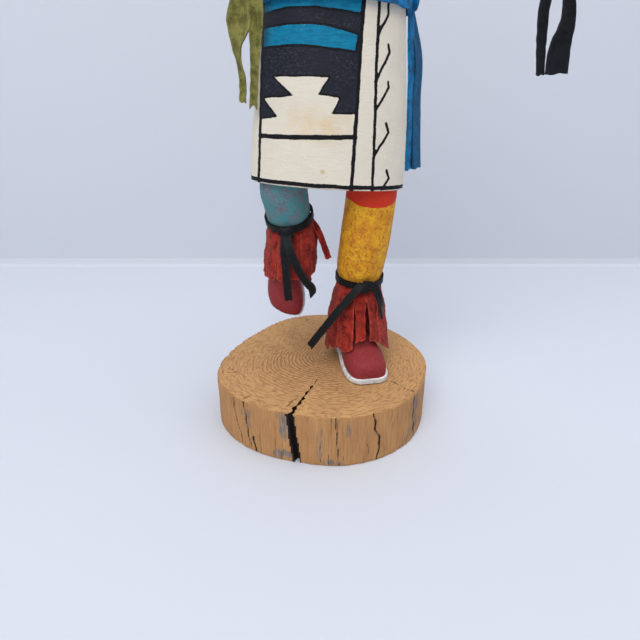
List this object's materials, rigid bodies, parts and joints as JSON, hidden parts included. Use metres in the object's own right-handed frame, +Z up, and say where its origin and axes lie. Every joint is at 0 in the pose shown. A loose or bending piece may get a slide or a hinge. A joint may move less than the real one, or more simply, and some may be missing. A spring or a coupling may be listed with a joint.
{
  "type": "kachina doll",
  "caption": "Carved and painted kachina doll dancing on one leg on a slice of wood, with suede sash, fringed anklets and strips held in its fists.",
  "frame": {"origin": "on the underside of the base, under the pith of the wood, where the doll's trunk stands above it", "axes": "+Z up; +X to the doll's own left; -Y is its front"},
  "size_m": [0.1495, 0.1057, 0.3443],
  "materials": {
    "base": "sanded end grain with bark-free rim",
    "figure": "carved and painted, matte",
    "right_arm": "carved and painted, matte",
    "left_arm": "carved and painted, matte",
    "right_anklet": "fringed suede",
    "left_anklet": "fringed suede",
    "right_tie": "flat lace, satin",
    "left_tie": "flat lace, satin",
    "sash": "suede",
    "green_suede": "suede",
    "black_suede": "suede",
    "neck_ruff": "soft and matte",
    "crest_feathers": "thin carved blades, painted, matte"
  },
  "bodies": {
    "root": {"base": "base", "figure": "figure", "right_arm": "right_arm", "left_arm": "left_arm", "right_anklet": "right_anklet", "left_anklet": "left_anklet", "right_tie": "right_tie", "left_tie": "left_tie", "sash": "sash", "green_suede": "green_suede", "black_suede": "black_suede", "neck_ruff": "neck_ruff", "crest_feathers": "crest_feathers"}
  },
  "joints": []
}
